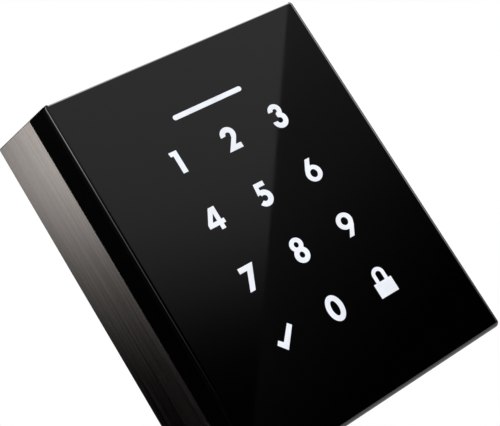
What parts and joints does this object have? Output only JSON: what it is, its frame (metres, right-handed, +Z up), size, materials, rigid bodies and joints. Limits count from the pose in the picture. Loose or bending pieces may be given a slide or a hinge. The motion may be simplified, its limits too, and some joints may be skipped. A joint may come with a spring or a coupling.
{
  "type": "keypad smart lock",
  "caption": "Keyless deadbolt lockset: black glass touch keypad in a flared satin-nickel housing, bolt latch with faceplate, and inside thumb-turn drive unit.",
  "frame": {"origin": "spindle axis at the door's outside face", "axes": "+X towards the door's lock edge, +Y through the door from outside to inside, +Z up"},
  "size_m": [0.1016, 0.1174, 0.1175],
  "materials": {
    "touch_glass": "polished, back-printed black",
    "legend_light": "clear window, back-lit white",
    "black_band": "high gloss",
    "seal_rubber": "matte",
    "satin_nickel": "brushed satin nickel",
    "diffuser": "frosted",
    "circuit_board": "solder mask",
    "components": "moulded black",
    "lamp": "clear resin",
    "chassis_plastic": "moulded black",
    "zinc_steel": "zinc plated",
    "bolt_steel": "satin, hardened",
    "cast_zinc": "as cast",
    "brass": "machined",
    "gear_plastic": "acetal",
    "motor_can": "nickel plated can",
    "cell_wrap": "printed film, plain",
    "spring_metal": "nickel plated",
    "button_rubber": "matte",
    "cover_plastic": "satin paint"
  },
  "bodies": {
    "lockset": {"back_plate": "zinc_steel", "battery_1": "cell_wrap", "battery_2": "cell_wrap", "battery_3": "cell_wrap", "battery_4": "cell_wrap", "battery_contacts": "spring_metal", "battery_tray": "chassis_plastic", "bezel_band": "black_band", "bezel_gasket": "seal_rubber", "buzzer": "components", "cable_socket": "diffuser", "chassis_screws": "zinc_steel", "door_gasket": "seal_rubber", "drive_motor": "motor_can", "front_glass": "touch_glass", "gear_plate": "chassis_plastic", "gear_plate_screws": "zinc_steel", "inside_board": "circuit_board", "inside_board_parts": "components", "inside_housing": "satin_nickel", "latch_faceplate": "satin_nickel", "latch_frame": "zinc_steel", "latch_tube": "zinc_steel", "legend_0": "legend_light", "legend_1": "legend_light", "legend_2": "legend_light", "legend_3": "legend_light", "legend_4": "legend_light", "legend_5": "legend_light", "legend_6": "legend_light", "legend_7": "legend_light", "legend_8": "legend_light", "legend_9": "legend_light", "legend_check": "legend_light", "legend_lock": "legend_light", "light_guide": "diffuser", "main_board": "circuit_board", "main_board_parts": "components", "mount_plate": "zinc_steel", "outside_chassis": "chassis_plastic", "outside_housing": "satin_nickel", "status_bar": "legend_light", "support_posts": "zinc_steel", "through_bolts": "zinc_steel", "touch_board": "circuit_board", "touch_leds": "lamp"},
    "turn": {"thumb_turn": "satin_nickel", "output_gear": "gear_plastic", "torque_blade": "zinc_steel", "latch_cam": "cast_zinc"},
    "bolt_body": {"bolt": "bolt_steel"},
    "pinion": {"motor_pinion": "brass", "motor_shaft": "spring_metal"},
    "cover": {"battery_cover": "cover_plastic"},
    "button": {"program_button": "button_rubber"}
  },
  "joints": [
    {"name": "turn", "type": "hinge", "parent": "lockset", "child": "turn", "pos_m": [0, 0.02, 0], "axis": [0, 1, 0], "range_deg": [0, 90]},
    {"name": "bolt_slide", "type": "slide", "parent": "lockset", "child": "bolt_body", "axis": [1, 0, 0], "range_m": [0, 0.0254]},
    {"name": "pinion_spin", "type": "hinge", "parent": "lockset", "child": "pinion", "pos_m": [0, 0.045, -0.0161], "axis": [0, 1, 0], "range_deg": [-206, 0]},
    {"name": "cover_slide", "type": "slide", "parent": "lockset", "child": "cover", "axis": [0, 0, 1], "range_m": [0, 0.03]},
    {"name": "button_press", "type": "slide", "parent": "lockset", "child": "button", "axis": [0, -1, 0], "range_m": [0, 0.0008], "stiffness_N_per_m": 400, "springref_m": -0.001}
  ],
  "couplings": [
    {"joint": "bolt_slide", "follows": "turn", "m_per_rad": 0.01617},
    {"joint": "pinion_spin", "follows": "turn", "ratio": -2.2857}
  ]
}
